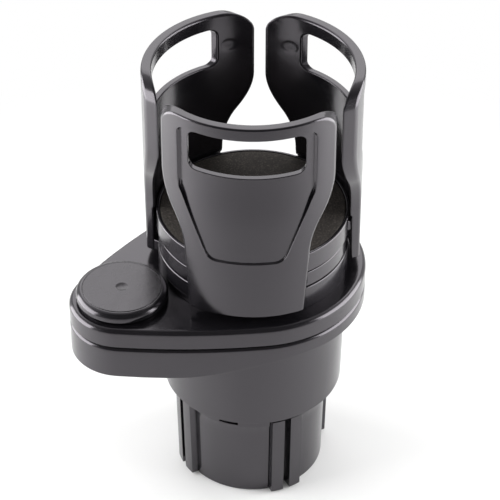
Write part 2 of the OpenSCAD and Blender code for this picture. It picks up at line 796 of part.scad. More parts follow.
module arm_spring_1() { arm_spring(1); }
module arm_spring_2() { arm_spring(2); }
module arm_spring_3() { arm_spring(3); }

module knob() {
    side = knob_h - neck_h - lip_h;
    neck_r = knob_r - rib_t;
    bulge = ((knob_r - knob_top_r)*(knob_r - knob_top_r) + side*side)/(2*(knob_r - knob_top_r));
    color("#343336") translate([-reach, 0, 0]) difference() {
        rotate_extrude() translate([0, knob_z0]) polygon(concat(
            [[0, 0], [neck_r, 0], [neck_r, neck_h], [knob_r, neck_h], [knob_r, neck_h + lip_h]],
            arc(knob_r - bulge, neck_h + lip_h, bulge, 0, asin(side/bulge), 6), [[0, knob_h]]));
        translate([0, 0, knob_z1 - seat_d]) cylinder(r = seat_r, h = knob_h);
        tube(neck_r - rib_t, stem_r + rib_t, knob_z0 - past, knob_z1 - seat_d - rib_t);
    }
    color("#343336") translate([-reach, 0, 0]) difference() {
        translate([0, 0, stem_z0]) cylinder(r = stem_r, h = knob_z0 - stem_z0 + past);
        translate([0, 0, stem_z0 - past])
            cylinder(r = pilot_r, h = past + pivot_screw_l - end_washer_t + tip);
    }
}

// The plain disc let into the knob's top, with a small dimple at its centre
module knob_cover() {
    color("#3a393c") translate([-reach, 0, 0]) difference() {
        translate([0, 0, knob_z1 - seat_d]) cylinder(r = seat_r - guide/2, h = seat_d + guide);
        translate([0, 0, knob_z1 + guide + dimple_r - dimple_d]) sphere(r = dimple_r);
    }
}

module pivot_washer() {
    color("silver") translate([-reach, 0, 0])
        tube(low_boss_r - loose, shank_r + guide, stem_z0 - end_washer_t, stem_z0);
}

// The spring that presses the trays together round the stem
module pivot_spring() {
    color("silver") translate([-reach, 0, stem_z0 + guide/2]) rotate([0, -90, 0])
        coil(low_boss_z0 - stem_z0 - guide, stem_r + pivot_wire_r + loose, pivot_wire_r, pivot_turns);
}

module pivot_screw() {
    color("silver") translate([-reach, 0, stem_z0 - end_washer_t]) screw(pivot_screw_l);
}

base_barrel();
base_plate();
base_screws();
fin_1();
fin_2();
fin_3();
fin_4();
cam_disc();
dial();
dial_screw();
lower_cup();
lower_pad();
slip_washer();
upper_tray();
drum_base();
drum_middle();
drum_cap();
drum_lid();
drum_screws();
cap_screws();
upper_pad();
arm_1();
arm_2();
arm_3();
arm_spring_1();
arm_spring_2();
arm_spring_3();
knob();
knob_cover();
pivot_washer();
pivot_spring();
pivot_screw();
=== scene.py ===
import math

import bmesh
import bpy
from mathutils import Matrix, Vector, noise
from mathutils.geometry import delaunay_2d_cdt


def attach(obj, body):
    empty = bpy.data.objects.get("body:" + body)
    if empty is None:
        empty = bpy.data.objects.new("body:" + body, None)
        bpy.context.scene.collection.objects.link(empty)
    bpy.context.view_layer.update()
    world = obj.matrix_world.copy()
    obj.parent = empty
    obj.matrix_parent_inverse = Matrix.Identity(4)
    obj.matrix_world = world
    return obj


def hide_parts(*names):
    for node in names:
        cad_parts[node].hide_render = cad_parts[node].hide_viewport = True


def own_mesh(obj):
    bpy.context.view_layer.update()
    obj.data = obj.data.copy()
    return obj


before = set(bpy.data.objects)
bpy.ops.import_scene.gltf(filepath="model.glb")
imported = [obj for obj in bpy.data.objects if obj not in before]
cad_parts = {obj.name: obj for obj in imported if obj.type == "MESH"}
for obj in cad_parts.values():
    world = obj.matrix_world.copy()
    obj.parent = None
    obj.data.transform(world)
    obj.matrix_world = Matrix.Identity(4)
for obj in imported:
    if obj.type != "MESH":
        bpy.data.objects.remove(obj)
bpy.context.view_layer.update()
millimetre = 0.001
mergeWithin = 0.000002  # corners closer than this, in metres, become one
poleRadius = 0.02  # a profile that meets the axis closes with a tiny disc
print("frame loaded, nodes:", len(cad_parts))


# finishes: small node trees on Object coordinates

def startMaterial(name):
    material = bpy.data.materials.new(name)
    material.use_nodes = True
    tree = material.node_tree
    shader = tree.nodes["Principled BSDF"]
    coords = tree.nodes.new("ShaderNodeTexCoord")
    return material, tree, shader, coords


def addNoise(tree, coords, scale, detail=2.0, roughness=0.5):
    node = tree.nodes.new("ShaderNodeTexNoise")
    node.inputs["Scale"].default_value = scale
    node.inputs["Detail"].default_value = detail
    node.inputs["Roughness"].default_value = roughness
    tree.links.new(coords.outputs["Object"], node.inputs["Vector"])
    return node


def addRange(tree, source, low, high, fromLow=0.35, fromHigh=0.65):
    node = tree.nodes.new("ShaderNodeMapRange")
    node.inputs["From Min"].default_value = fromLow
    node.inputs["From Max"].default_value = fromHigh
    node.inputs["To Min"].default_value = low
    node.inputs["To Max"].default_value = high
    tree.links.new(source, node.inputs["Value"])
    return node


def addBlend(tree, factor, first, second):
    node = tree.nodes.new("ShaderNodeMix")
    node.data_type = "RGBA"
    node.inputs["A"].default_value = (*first, 1)
    node.inputs["B"].default_value = (*second, 1)
    tree.links.new(factor, node.inputs["Factor"])
    return node


def addBump(tree, shader, height, strength, distance):
    node = tree.nodes.new("ShaderNodeBump")
    node.inputs["Strength"].default_value = strength
    node.inputs["Distance"].default_value = distance
    tree.links.new(height, node.inputs["Height"])
    tree.links.new(node.outputs["Normal"], shader.inputs["Normal"])
    return node


def plasticFinish(name, settings):
    material, tree, shader, coords = startMaterial(name)
    cloud = addNoise(tree, coords, settings["cloudScale"], detail=3.0)
    grain = addNoise(tree, coords, settings["grainScale"], roughness=0.6)
    tint = addBlend(tree, cloud.outputs["Fac"], settings["dark"], settings["light"])
    tree.links.new(tint.outputs["Result"], shader.inputs["Base Color"])
    rough = addRange(tree, cloud.outputs["Fac"], settings["roughLow"], settings["roughHigh"])
    tree.links.new(rough.outputs["Result"], shader.inputs["Roughness"])
    addBump(tree, shader, grain.outputs["Fac"], settings["grain"], settings["grainDepth"])
    shader.inputs["Specular IOR Level"].default_value = settings["specular"]
    shader.inputs["Specular Tint"].default_value = (*settings.get("sheen", (1, 1, 1)), 1)
    return material


def foamFinish(name, settings):
    material, tree, shader, coords = startMaterial(name)
    cloud = addNoise(tree, coords, settings["cloudScale"], detail=3.0)
    specks = addNoise(tree, coords, settings["speckScale"], detail=3.0, roughness=0.7)
    cells = tree.nodes.new("ShaderNodeTexVoronoi")
    cells.inputs["Scale"].default_value = settings["cellScale"]
    tree.links.new(coords.outputs["Object"], cells.inputs["Vector"])
    base = addBlend(tree, cloud.outputs["Fac"], settings["dark"], settings["light"])
    speckRange = addRange(tree, specks.outputs["Fac"], 0.0, 1.0, fromLow=0.52, fromHigh=0.72)
    flecks = tree.nodes.new("ShaderNodeMix")
    flecks.data_type = "RGBA"
    tree.links.new(speckRange.outputs["Result"], flecks.inputs["Factor"])
    tree.links.new(base.outputs["Result"], flecks.inputs["A"])
    flecks.inputs["B"].default_value = (*settings["fleck"], 1)
    tree.links.new(flecks.outputs["Result"], shader.inputs["Base Color"])
    shader.inputs["Roughness"].default_value = settings["roughness"]
    shader.inputs["Specular IOR Level"].default_value = settings["specular"]
    addBump(tree, shader, cells.outputs["Distance"], settings["grain"], settings["grainDepth"])
    return material


def steelFinish(name, settings):
    material, tree, shader, coords = startMaterial(name)
    streaks = addNoise(tree, coords, settings["streakScale"], detail=3.0)
    tint = addBlend(tree, streaks.outputs["Fac"], settings["dark"], settings["light"])
    tree.links.new(tint.outputs["Result"], shader.inputs["Base Color"])
    rough = addRange(tree, streaks.outputs["Fac"], settings["roughLow"], settings["roughHigh"])
    tree.links.new(rough.outputs["Result"], shader.inputs["Roughness"])
    addBump(tree, shader, streaks.outputs["Fac"], settings["grain"], settings["grainDepth"])
    shader.inputs["Metallic"].default_value = 1.0
    return material


violetCast = (0.98, 0.925, 1.0)  # the black plastic's reflections are very slightly violet
satinBlack = plasticFinish("satinBlack", {
    "dark": (0.0070, 0.0065, 0.0080), "light": (0.0100, 0.0093, 0.0112), "cloudScale": 90.0,
    "grainScale": 3800.0, "roughLow": 0.16, "roughHigh": 0.21, "grain": 0.06,
    "grainDepth": 0.00004, "specular": 0.85, "sheen": violetCast})
glossBlack = plasticFinish("glossBlack", {
    "dark": (0.0070, 0.0068, 0.0080), "light": (0.0100, 0.0097, 0.0112), "cloudScale": 120.0,
    "grainScale": 3000.0, "roughLow": 0.15, "roughHigh": 0.21, "grain": 0.05,
    "grainDepth": 0.00003, "specular": 0.8, "sheen": violetCast})
mattGrey = plasticFinish("mattGrey", {
    "dark": (0.028, 0.027, 0.029), "light": (0.036, 0.035, 0.037), "cloudScale": 150.0,
    "grainScale": 3200.0, "roughLow": 0.24, "roughHigh": 0.30, "grain": 0.12,
    "grainDepth": 0.00006, "specular": 0.7, "sheen": violetCast})
innerGrey = plasticFinish("innerGrey", {
    "dark": (0.075, 0.075, 0.08), "light": (0.095, 0.095, 0.10), "cloudScale": 120.0,
    "grainScale": 3000.0, "roughLow": 0.4, "roughHigh": 0.5, "grain": 0.12,
    "grainDepth": 0.00005, "specular": 0.5})
milkyPlastic = plasticFinish("milkyPlastic", {
    "dark": (0.66, 0.66, 0.63), "light": (0.74, 0.74, 0.71), "cloudScale": 150.0,
    "grainScale": 3000.0, "roughLow": 0.35, "roughHigh": 0.45, "grain": 0.1,
    "grainDepth": 0.00004, "specular": 0.5})
speckledFoam = foamFinish("speckledFoam", {
    "dark": (0.026, 0.0225, 0.0205), "light": (0.052, 0.045, 0.040), "fleck": (0.14, 0.12, 0.105),
    "cloudScale": 260.0, "speckScale": 1500.0, "cellScale": 1500.0, "roughness": 0.86,
    "specular": 0.35, "grain": 0.5, "grainDepth": 0.0002})
zincSteel = steelFinish("zincSteel", {
    "dark": (0.48, 0.48, 0.49), "light": (0.68, 0.68, 0.69), "streakScale": 900.0,
    "roughLow": 0.26, "roughHigh": 0.38, "grain": 0.15, "grainDepth": 0.00004})
print("finishes made")


# outlines in millimetres

def arcPoints(x, y, radius, start, end, steps=8):
    turns = [math.radians(start + (end - start) * i / steps) for i in range(steps + 1)]
    return [(x + radius * math.cos(t), y + radius * math.sin(t)) for t in turns]


def turned(points, turn):
    c, s = math.cos(math.radians(turn)), math.sin(math.radians(turn))
    return [(x * c - y * s, x * s + y * c) for x, y in points]


def bothSides(half):
    return half + [(-x, y) for x, y in reversed(half)]


def sCurve(x0, y0, x1, y1, steps=10):
    radius = ((y1 - y0) ** 2 + (x1 - x0) ** 2) / (4 * (x1 - x0))
    turn = math.degrees(math.asin((y1 - y0) / (2 * radius)))
    lower = arcPoints(x0 + radius, y0, radius, 180, 180 - turn, steps)
    return lower[:-1] + arcPoints(x1 - radius, y1, radius, -turn, 0, steps)


def slantedSide(x0, y0, r0, x1, y1, r1):
    reach = math.hypot(x1 - x0, y1 - y0)
    lean = math.degrees(math.atan2(x1 - x0, y1 - y0) - math.asin((r0 - r1) / reach))
    return arcPoints(x0, y0, r0, -90, -lean, 7) + arcPoints(x1, y1, r1, -lean, 0, 4)


def resampled(points, spacing):
    result = []
    for (ax, ay), (bx, by) in zip(points, points[1:] + points[:1]):
        length = math.hypot(bx - ax, by - ay)
        if length < 1e-6:
            continue
        steps = max(1, math.ceil(length / spacing))
        result += [(ax + (bx - ax) * i / steps, ay + (by - ay) * i / steps) for i in range(steps)]
    return result


def insetLoop(points, distance):
    result = []
    for i, (bx, by) in enumerate(points):
        (ax, ay), (cx, cy) = points[i - 1], points[(i + 1) % len(points)]
        before = Vector((bx - ax, by - ay)).normalized()
        after = Vector((cx - bx, cy - by)).normalized()
        one, two = Vector((-before.y, before.x)), Vector((-after.y, after.x))
        middle = (one + two).normalized()
        step = distance / max(middle.dot(one), 0.4)  # a sharp corner isn't followed all the way
        result.append((bx + middle.x * step, by + middle.y * step))
    return result


def softCorners(points, closed=False, steps=4):
    # each point is (a, b, radius); corners with a radius become short arcs
    result = []
    count = len(points)
    for i, (px, py, radius) in enumerate(points):
        atEnd = not closed and i in (0, count - 1)
        if atEnd or radius <= 0:
            result.append((px, py))
            continue
        corner = Vector((px, py))
        toBefore = Vector(points[i - 1][:2]) - corner
        toAfter = Vector(points[(i + 1) % count][:2]) - corner
        half = toBefore.angle(toAfter) / 2
        reach = radius / math.tan(half)
        longest = 0.48 * min(toBefore.length, toAfter.length)  # arcs never meet
        if reach > longest:
            radius, reach = radius * longest / reach, longest
        inward = (toBefore.normalized() + toAfter.normalized()).normalized()
        middle = corner + inward * (radius / math.sin(half))
        start = corner + toBefore.normalized() * reach - middle
        end = corner + toAfter.normalized() * reach - middle
        turn = start.angle_signed(end)
        for k in range(steps + 1):
            spun = Matrix.Rotation(-turn * k / steps, 2) @ start
            result.append((middle.x + spun.x, middle.y + spun.y))
    return result


# solids from rings

def addRings(mesh, rings, closeFirst=True, closeLast=True, loop=False):
    rows = [[mesh.verts.new(point) for point in ring] for ring in rings]
    pairs = list(zip(rows, rows[1:])) + ([(rows[-1], rows[0])] if loop else [])
    for lower, upper in pairs:
        for i in range(len(lower)):
            k = (i + 1) % len(lower)
            mesh.faces.new((lower[i], lower[k], upper[k], upper[i]))
    if closeFirst and not loop:
        mesh.faces.new(list(reversed(rows[0])))
    if closeLast and not loop:
        mesh.faces.new(rows[-1])
    return rows


def fillBetween(mesh, rows):
    edges = []
    for row in rows:
        for i in range(len(row)):
            edges.append(mesh.edges.get((row[i - 1], row[i])))
    bmesh.ops.triangle_fill(mesh, edges=edges, use_beauty=True)


def addRevolved(mesh, profile, centre=(0, 0), loop=True, segments=144):
    def ring(radius, z):
        turns = [2 * math.pi * i / segments for i in range(segments)]
        return [(centre[0] + radius * math.cos(t), centre[1] + radius * math.sin(t), z) for t in turns]
    rings = [ring(max(radius, poleRadius), z) for radius, z in profile]
    closeFirst, closeLast = profile[0][0] < poleRadius, profile[-1][0] < poleRadius
    return addRings(mesh, rings, closeFirst, closeLast, loop)


def softLevels(soft, steps=3):
    if soft <= 0:
        return [(0.0, 0.0)]
    turns = [math.pi / 2 * i / steps for i in range(steps + 1)]
    return [(soft * (1 - math.sin(t)), soft * (1 - math.cos(t))) for t in turns]


def addPlate(mesh, loops, z0, z1, soft=0.3, topSoft=None):
    # the first loop runs anticlockwise round the plate; the others are holes, clockwise
    top = softLevels(soft if topSoft is None else topSoft)
    levels = [(inset, z0 + rise) for inset, rise in softLevels(soft)]
    levels += [(inset, z1 - rise) for inset, rise in reversed(top)]
    firstRows, lastRows = [], []
    for loop in loops:
        rings = [[(x, y, z) for x, y in insetLoop(loop, inset)] for inset, z in levels]
        rows = addRings(mesh, rings, closeFirst=False, closeLast=False)
        firstRows.append(rows[0])
        lastRows.append(rows[-1])
    fillBetween(mesh, firstRows)
    fillBetween(mesh, lastRows)


def addTube(mesh, outer, inner, z0, z1, centre=(0, 0), soft=0.25, segments=96):
    profile = softCorners([(outer, z0, soft), (outer, z1, soft), (inner, z1, soft), (inner, z0, soft)],
                          closed=True, steps=3)
    addRevolved(mesh, profile, centre, loop=True, segments=segments)


def barLoop(x0, x1, width, turn=0.0, cornerRadius=0.6):
    half = width / 2
    corners = [(x, y, cornerRadius) for x, y in ((x0, -half), (x1, -half), (x1, half), (x0, half))]
    return turned(softCorners(corners, closed=True, steps=3), turn)


def linked(name, data):
    holder = bpy.data.objects.new(name, data)
    bpy.context.scene.collection.objects.link(holder)
    return holder


def finishPiece(piece, body, nodes, sharpAngle=40):
    mesh = piece.data
    mesh.shade_smooth()
    mesh.set_sharp_from_angle(angle=math.radians(sharpAngle))
    weights = piece.modifiers.new("evenNormals", "WEIGHTED_NORMAL")
    weights.keep_sharp = True
    weights.weight = 60  # broad faces count for more
    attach(piece, body)
    if nodes:
        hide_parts(*nodes)
    return piece


def makePiece(name, mesh, finish, body, nodes=(), sharpAngle=40):
    bmesh.ops.recalc_face_normals(mesh, faces=mesh.faces)
    mesh.transform(Matrix.Scale(millimetre, 4))
    data = bpy.data.meshes.new(name)
    mesh.to_mesh(data)
    mesh.free()
    data.materials.append(finish)
    return finishPiece(linked(name, data), body, nodes, sharpAngle)


def finishedCopy(node, name, finish, body, sharpAngle=16):
    # a merged copy of a CAD node, smooth where the node is round
    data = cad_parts[node].data.copy()
    data.name = name
    mesh = bmesh.new()
    mesh.from_mesh(data)
    bmesh.ops.remove_doubles(mesh, verts=mesh.verts, dist=mergeWithin)
    mesh.to_mesh(data)
    mesh.free()
    data.materials.clear()
    data.materials.append(finish)
    return finishPiece(linked(name, data), body, [node], sharpAngle)


# trays: an egg outline that holds the cup at one end and the knob at the other

tray = {
    "bigRadius": 52.0, "smallRadius": 24.0, "reach": 65.5, "sideRadius": 300.0, "wall": 2.4,
    "top": 2.5, "lowTop": 104.2, "lowEdge": 2.0, "skirtKnob": 16.2, "skirtCup": 7.2,
    "riseFrom": 55.0, "riseTo": 5.0, "upBottom": 105.0, "upTop": 114.5, "upEdge": 2.5,
    "rib": 1.6, "ribClear": 2.0, "bossRadius": 12.0, "pivotHole": 6.1, "lowBossRadius": 10.5,
    "lowBossHeight": 7.7, "screwRadius": 37.0, "screwBoss": 4.7, "screwHole": 3.3,
    "screwTurns": (60, 180, 300), "sink": 0.5}
knobAxis = (-tray["reach"], 0)


def eggOutline(inset):
    bigSpan = tray["sideRadius"] - tray["bigRadius"]
    smallSpan = tray["sideRadius"] - tray["smallRadius"]
    reach = tray["reach"]
    sideX = (smallSpan ** 2 - bigSpan ** 2 - reach ** 2) / (2 * reach)
    sideY = math.sqrt(bigSpan ** 2 - sideX ** 2)
    bigTurn = math.degrees(math.atan2(sideY, -sideX))
    smallTurn = math.degrees(math.atan2(sideY, -reach - sideX))
    side = tray["sideRadius"] - inset
    points = arcPoints(0, 0, tray["bigRadius"] - inset, -bigTurn, bigTurn, 84)[:-1]
    points += arcPoints(sideX, -sideY, side, bigTurn, smallTurn, 24)[:-1]
    points += arcPoints(-reach, 0, tray["smallRadius"] - inset, smallTurn, 360 - smallTurn, 64)[:-1]
    points += arcPoints(sideX, sideY, side, -smallTurn, -bigTurn, 24)[:-1]
    return points


def makeUpperTray():
    wall, z0, z1 = tray["wall"], tray["upBottom"], tray["upTop"]
    ceiling = z1 - tray["top"]
    mesh = bmesh.new()
    profile = softCorners([
        (wall + 3, ceiling, 0), (wall, ceiling, 0.5), (wall, z0, 0.25), (0, z0, 0.3),
        (0, z1, tray["upEdge"]), (tray["upEdge"] + 3, z1, 0)], steps=6)
    addRings(mesh, [[(x, y, z) for x, y in eggOutline(inset)] for inset, z in profile])
    # bosses and ribs sink a little into the top and each other, so that no gap shows
    root, ribFoot, screws = ceiling + tray["sink"], z0 + tray["ribClear"], tray["screwRadius"]
    addTube(mesh, tray["bossRadius"], tray["pivotHole"], z0, root, knobAxis)
    for turn in tray["screwTurns"]:
        spot = turned([(screws, 0)], turn)[0]
        addTube(mesh, tray["screwBoss"], tray["screwHole"], ribFoot, root, spot, segments=48)
    addTube(mesh, screws + tray["rib"] / 2, screws - tray["rib"] / 2, ribFoot, root)
    addPlate(mesh, [barLoop(tray["bossRadius"] - 1 - tray["reach"], -screws, tray["rib"])], ribFoot, root)
    return makePiece("upper_tray_shell", mesh, satinBlack, "swing", ["upper_tray"])


def lowSkirt(x):
    share = min(max((x + tray["riseFrom"]) / (tray["riseFrom"] + tray["riseTo"]), 0), 1)
    return tray["skirtKnob"] - (tray["skirtKnob"] - tray["skirtCup"]) * (1 - math.cos(math.pi * share)) / 2


cup = {
    "wellRadius": 39.2, "floorRadius": 38.6, "floorTop": 52.2, "padTop": 58.2, "hole": 7.08,
    "hubBottom": 46.0, "hubRadius": 10.4, "bottom": 49.6, "bottomRadius": 41.8,
    "topRadius": 43.2, "lip": 0.8, "clipRadius": 31.1, "clipWidth": 8.6, "clipWall": 1.6,
    "clipTurns": (45, 135, 225, 315), "clipBottom": 40.6, "hookBottom": 42.4, "hookTop": 44.4,
    "hookOut": 1.6, "sink": 0.4, "skirtPart": 8.0}


def sectorLoop(inner, outer, width, turn):
    half = math.degrees(math.asin(width / 2 / outer))
    points = arcPoints(0, 0, outer, turn - half, turn + half, 8)
    return points + arcPoints(0, 0, inner, turn + half, turn - half, 8)


def makeLowerCup():
    wall, top = tray["wall"], tray["lowTop"]
    ceiling = top - tray["top"]
    mesh = bmesh.new()
    # the tray's wall, with a lower edge that rises from the knob to the cup
    part = cup["skirtPart"]
    skirt = softCorners([
        (wall + 3, 0, 0), (wall, 0, 0.5), (wall, -part, 0.3), (0, -part, 0.35), (0, part, 0)], steps=5)
    edge = tray["lowEdge"]
    crown = softCorners([(0, top - 4, 0), (0, top, edge), (edge + 3, top, 0)], steps=6)
    rings = []
    for inset, mark in skirt[:-1]:
        ring = []
        for x, y in eggOutline(inset):
            low = top - lowSkirt(x)
            rise = -mark / part
            ring.append((x, y, ceiling + mark if rise <= 0 else ceiling + (low - ceiling) * rise))
        rings.append(ring)
    rings += [[(x, y, z) for x, y in eggOutline(inset)] for inset, z in crown]
    eggRows = addRings(mesh, rings, closeFirst=False, closeLast=False)
    profile = softCorners([
        (cup["wellRadius"] + 2, top, 0), (cup["wellRadius"], top, cup["lip"]),
        (cup["wellRadius"], cup["padTop"], 0.2), (cup["floorRadius"], cup["padTop"], 0.2),
        (cup["floorRadius"], cup["floorTop"], 0.4),
        (cup["hole"], cup["floorTop"], 0.3), (cup["hole"], cup["hubBottom"], 0.2),
        (cup["hubRadius"], cup["hubBottom"], 0.3), (cup["hubRadius"], cup["bottom"], 0.4),
        (cup["bottomRadius"], cup["bottom"], 0.35), (cup["topRadius"], ceiling, 0)], steps=5)
    cupRows = addRevolved(mesh, profile, loop=False, segments=180)
    fillBetween(mesh, [eggRows[-1], cupRows[0]])
    fillBetween(mesh, [eggRows[0], cupRows[-1]])
    addTube(mesh, tray["lowBossRadius"], tray["pivotHole"], top - tray["lowBossHeight"],
            ceiling + tray["sink"], knobAxis)
    radius, width = cup["clipRadius"], cup["clipWidth"]
    for turn in cup["clipTurns"]:
        clip = sectorLoop(radius - cup["clipWall"], radius, width, turn)
        hook = sectorLoop(radius - cup["sink"], radius + cup["hookOut"], width, turn)
        addPlate(mesh, [clip], cup["clipBottom"], cup["bottom"] + cup["sink"], soft=0.15)
        addPlate(mesh, [hook], cup["hookBottom"], cup["hookTop"], soft=0.2)
    return makePiece("lower_cup_shell", mesh, satinBlack, "base", ["lower_cup"])


makeUpperTray()
makeLowerCup()
print("trays and lower cup made")


# drum: a plinth and three layers, each with the slot for one arm's foot

drum = {
    # radii and turns run from the lowest layer up
    "plinthRadius": 43.5, "plinthBottom": 114.5, "plinthSink": 0.05, "bottom": 118.0, "layer": 8.0,
    "floor": 2.2, "radii": (43.4, 43.0, 43.7), "turns": (120, 240, 0), "capTop": 145.1, "rim": 1.4,
    "slotHalf": 26.5, "slotFrom": 16.7, "stopFrom": 37.2, "stopTo": 39.4, "stopWidth": 6.4,
    "stopHeight": 5.3, "sink": 0.4, "footSoft": 0.55, "soft": 0.45, "seam": 0.6,
    "overhang": 1.4, "slopeFrom": 0.1}


def circleLoop(radius, segments=180):
    return arcPoints(0, 0, radius, 0, 360, segments)[:-1]


def slottedLoop(radius):
    # a disc with the arm's slot cut in from +X
    half, start = drum["slotHalf"], drum["slotFrom"]
    edge = math.degrees(math.asin(half / radius))
    return arcPoints(0, 0, radius, edge, 360 - edge, 144) + [(start, -half), (start, half)]


def addLayer(mesh, number, topSoft):
    radius, turn = drum["radii"][number], drum["turns"][number]
    z0 = drum["bottom"] + number * drum["layer"]
    z1, floor = z0 + drum["layer"], z0 + drum["floor"]
    if number:
        # a shadow gap over the layer below, then a slope out to the full width
        gapTop, inner = z0 + drum["seam"], drum["radii"][1] - drum["overhang"]
        slope = drum["radii"][1] - drum["slopeFrom"]
        profile = [(0, z0), (inner, z0), (inner, gapTop), (slope, gapTop),
                   (radius, gapTop + radius - slope), (radius, floor), (0, floor)]
        addRevolved(mesh, profile, loop=False, segments=180)
    else:
        addPlate(mesh, [circleLoop(radius)], z0, floor, soft=0.0)
    addPlate(mesh, [turned(slottedLoop(radius), turn)], floor, z1, soft=0.0, topSoft=topSoft)
    stop = barLoop(drum["stopFrom"], drum["stopTo"], drum["stopWidth"], turn, cornerRadius=0.3)
    addPlate(mesh, [stop], floor - drum["sink"], floor + drum["stopHeight"], soft=0.2)


def makeDrum():
    mesh = bmesh.new()
    plinth = circleLoop(drum["plinthRadius"])
    plinthTop = drum["bottom"] + drum["plinthSink"]
    addPlate(mesh, [plinth], drum["plinthBottom"], plinthTop, topSoft=0.0)
    addLayer(mesh, 0, drum["footSoft"])
    makePiece("drum_foot_layer", mesh, satinBlack, "swing", ["drum_base"])
    mesh = bmesh.new()
    addLayer(mesh, 1, drum["soft"])
    makePiece("drum_middle_layer", mesh, satinBlack, "swing", ["drum_middle"])
    mesh = bmesh.new()
    addLayer(mesh, 2, 0.0)
    outer, top = drum["radii"][2], drum["capTop"]
    seat, ledge = outer - drum["rim"], drum["bottom"] + 3 * drum["layer"]
    rim = [(outer, ledge, 0), (outer, top, 0.5), (seat, top, 0.35), (seat, ledge, 0)]
    profile = softCorners(rim, closed=True, steps=5)
    addRevolved(mesh, profile, loop=True, segments=180)
    makePiece("drum_top_layer", mesh, satinBlack, "swing", ["drum_cap"])


makeDrum()
print("drum made")


# knob on its stem, with a plain cover disc

knob = {
    "bottom": 114.8, "top": 120.4, "lipRadius": 20.8, "topRadius": 18.4, "lip": 1.5, "neck": 1.3,
    "neckRadius": 19.6, "pocketRadius": 17.6, "pocketTop": 117.2, "collarRadius": 7.6,
    "seatRadius": 17.9, "seatDepth": 1.6, "stemRadius": 6.0, "stemBottom": 91.4,
    "discRadius": 17.8, "discRise": 0.2, "dimpleRadius": 3.0, "dimpleDepth": 0.6}


def makeKnob():
    low, top, lip = knob["bottom"], knob["top"], knob["lipRadius"]
    neckTop = low + knob["neck"]
    start = neckTop + knob["lip"]
    side, across = top - start, lip - knob["topRadius"]
    bulge = (across ** 2 + side ** 2) / (2 * across)
    flank = arcPoints(lip - bulge, start, bulge, 0, math.degrees(math.asin(side / bulge)), 10)
    profile = softCorners([
        (0, knob["stemBottom"], 0), (knob["stemRadius"], knob["stemBottom"], 0.3),
        (knob["stemRadius"], low, 0.2), (knob["collarRadius"], low, 0.2),
        (knob["collarRadius"], knob["pocketTop"], 0.4), (knob["pocketRadius"], knob["pocketTop"], 0.4),
        (knob["pocketRadius"], low, 0.2), (knob["neckRadius"], low, 0.2),
        (knob["neckRadius"], neckTop, 0.3), (lip, neckTop, 0.25), (lip, start, 0)], steps=4)
    profile += flank[1:-2]
    profile += softCorners([
        flank[-2] + (0,), (knob["topRadius"], top, 0.1), (knob["seatRadius"], top, 0.15),
        (knob["seatRadius"], top - knob["seatDepth"], 0.2), (0, top - knob["seatDepth"], 0)], steps=3)
    mesh = bmesh.new()
    addRevolved(mesh, profile, knobAxis, loop=False, segments=160)
    return makePiece("knob_body", mesh, glossBlack, "knob", ["knob"], sharpAngle=50)


def makeCover():
    mesh = bmesh.new()
    seat, top = knob["top"] - knob["seatDepth"], knob["top"] + knob["discRise"]
    radius, depth = knob["dimpleRadius"], knob["dimpleDepth"]
    bowl = [(radius * (1 - i / 8), top - depth * (1 - (1 - i / 8) ** 2)) for i in range(9)]
    profile = softCorners([
        (0, seat, 0), (knob["discRadius"], seat, 0.1), (knob["discRadius"], top, 0.25),
        (radius + 0.5, top, 0)], steps=4)
    profile += [(radius + 0.2, top - 0.02)] + bowl
    addRevolved(mesh, profile, knobAxis, loop=False, segments=144)
    return makePiece("knob_cover_disc", mesh, mattGrey, "knob", ["knob_cover"], 50)


makeKnob()
makeCover()
print("knob made")


# foam pads

pads = {
    "upperRadius": 42.0, "upperBottom": 143.45, "upperTop": 145.1, "edge": 0.5,
    "ringOuter": 38.2, "ringInner": 24.1, "ringBottom": 52.25, "ringTop": 58.15,
    "swell": 0.08, "swellScale": 0.35, "sag": 0.6, "step": 1.6, "fill": 0.9}


def makePad(name, outer, inner, bottom, top, body, node):
    mesh = bmesh.new()
    edge = pads["edge"]
    if inner > 0:
        corners = [(inner, bottom, edge), (outer, bottom, edge), (outer, top, edge), (inner, top, edge)]
        profile = softCorners(corners, closed=True, steps=4)
    else:
        corners = [(0, bottom, 0), (outer, bottom, edge), (outer, top, edge), (0, top, 0)]
        profile = softCorners(corners, steps=4)
    fine = []
    last = len(profile) if inner > 0 else len(profile) - 1
    for i in range(last):
        (ax, az), (bx, bz) = profile[i], profile[(i + 1) % len(profile)]
        steps = max(1, round(math.hypot(bx - ax, bz - az) / pads["step"]))
        fine += [(ax + (bx - ax) * k / steps, az + (bz - az) * k / steps) for k in range(steps)]
    if inner <= 0:
        fine.append(profile[-1])
    addRevolved(mesh, fine, loop=inner > 0, segments=144)
    for vert in mesh.verts:
        if vert.co.z > (top + bottom) / 2:
            # a soft skin is never quite flat
            vert.co.z += pads["swell"] * (noise.noise(vert.co * pads["swellScale"]) - pads["sag"])
    piece = makePiece(name, mesh, speckledFoam, body, [node])
    return piece


makePad("drum_pad", pads["upperRadius"], 0, pads["upperBottom"], pads["upperTop"], "swing", "upper_pad")
makePad("cup_pad", pads["ringOuter"], pads["ringInner"], pads["ringBottom"], pads["ringTop"],
        "base", "lower_pad")
print("pads made")


# arms: a flat blade with frame, panel and window, bent round the drum by a node tree

